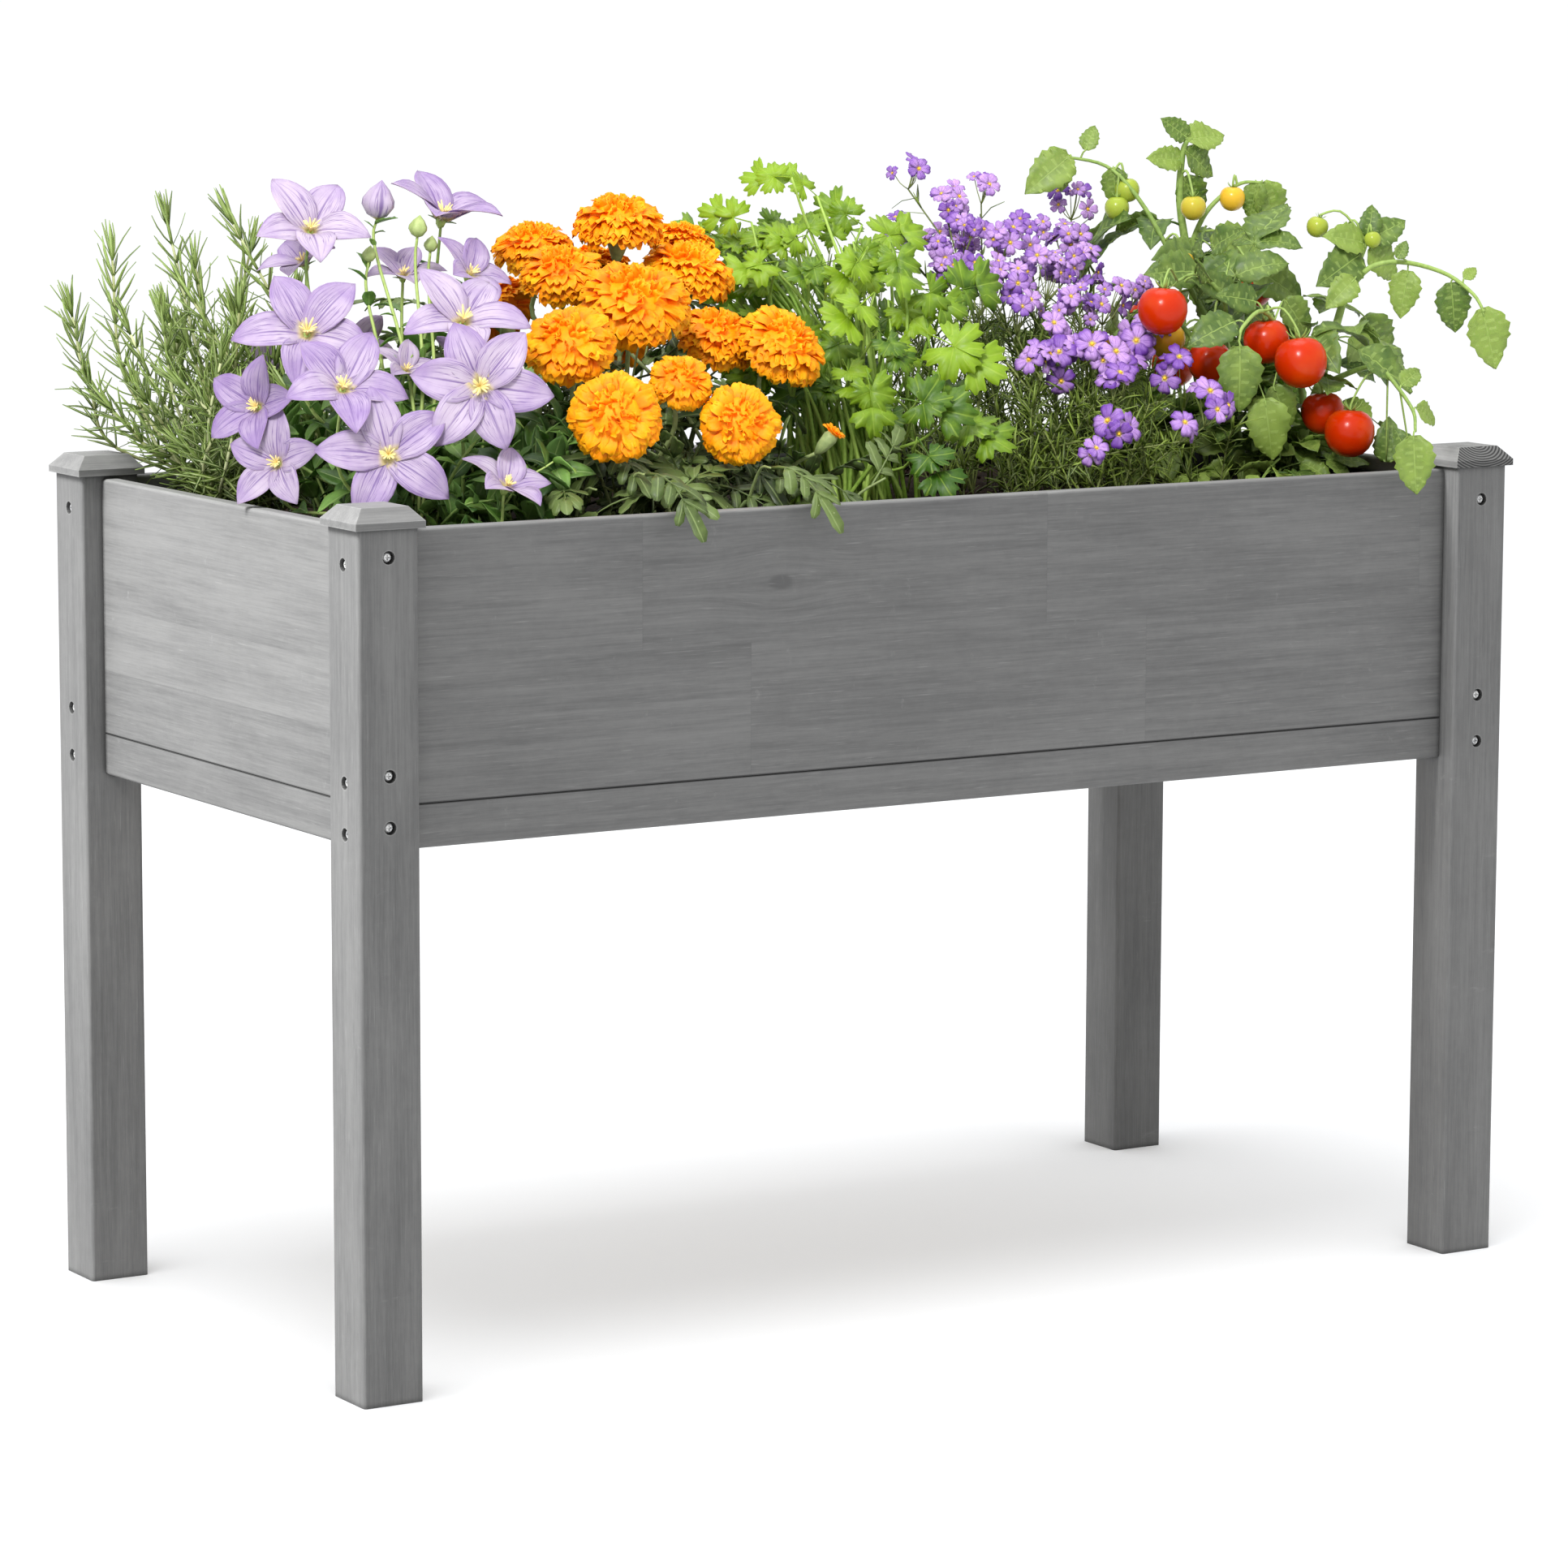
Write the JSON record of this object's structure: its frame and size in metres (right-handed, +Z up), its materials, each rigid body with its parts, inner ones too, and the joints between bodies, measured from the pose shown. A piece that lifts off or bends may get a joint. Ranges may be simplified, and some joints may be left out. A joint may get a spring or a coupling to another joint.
{
  "type": "raised planter on legs",
  "caption": "Wooden garden bed raised on square capped legs, with slatted floor, fabric liner, soil and a mixed planting of herbs, flowers and tomatoes.",
  "frame": {"origin": "on the ground under the middle of the bed", "axes": "+X along the bed's length, -Y to the front, +Z up"},
  "size_m": [1.219, 0.616, 1.062],
  "materials": {
    "stained_wood": "satin",
    "bare_wood": "matte",
    "screw_steel": "satin",
    "liner_fabric": "matte",
    "soil": "matte",
    "rosemary_leaf": "matte",
    "balloon_petal": "matte",
    "marigold_petal": "matte",
    "parsley_leaf": "matte",
    "purple_petal": "matte",
    "tomato_leaf": "matte"
  },
  "bodies": {
    "root": {"leg_front_left": "stained_wood", "cap_front_left": "stained_wood", "leg_front_right": "stained_wood", "cap_front_right": "stained_wood", "leg_back_left": "stained_wood", "cap_back_left": "stained_wood", "leg_back_right": "stained_wood", "cap_back_right": "stained_wood", "panel_front": "stained_wood", "rail_front": "stained_wood", "panel_right": "stained_wood", "rail_right": "stained_wood", "panel_back": "stained_wood", "rail_back": "stained_wood", "panel_left": "stained_wood", "rail_left": "stained_wood", "screw_front_left_end_top": "screw_steel", "screw_front_left_end_middle": "screw_steel", "screw_front_left_end_bottom": "screw_steel", "screw_front_left_long_top": "screw_steel", "screw_front_left_long_middle": "screw_steel", "screw_front_left_long_bottom": "screw_steel", "screw_front_right_end_top": "screw_steel", "screw_front_right_end_middle": "screw_steel", "screw_front_right_end_bottom": "screw_steel", "screw_front_right_long_top": "screw_steel", "screw_front_right_long_middle": "screw_steel", "screw_front_right_long_bottom": "screw_steel", "screw_back_left_end_top": "screw_steel", "screw_back_left_end_middle": "screw_steel", "screw_back_left_end_bottom": "screw_steel", "screw_back_left_long_top": "screw_steel", "screw_back_left_long_middle": "screw_steel", "screw_back_left_long_bottom": "screw_steel", "screw_back_right_end_top": "screw_steel", "screw_back_right_end_middle": "screw_steel", "screw_back_right_end_bottom": "screw_steel", "screw_back_right_long_top": "screw_steel", "screw_back_right_long_middle": "screw_steel", "screw_back_right_long_bottom": "screw_steel", "cross_beam_1": "bare_wood", "cross_beam_2": "bare_wood", "cross_beam_3": "bare_wood", "floor_slat_1": "bare_wood", "floor_slat_2": "bare_wood", "floor_slat_3": "bare_wood", "floor_slat_4": "bare_wood", "floor_slat_5": "bare_wood", "bed_liner": "liner_fabric", "potting_soil": "soil", "plant_rosemary": "rosemary_leaf", "plant_balloon_flower": "balloon_petal", "plant_marigold": "marigold_petal", "plant_parsley": "parsley_leaf", "plant_purple_flower": "purple_petal", "plant_tomato": "tomato_leaf"}
  },
  "joints": []
}
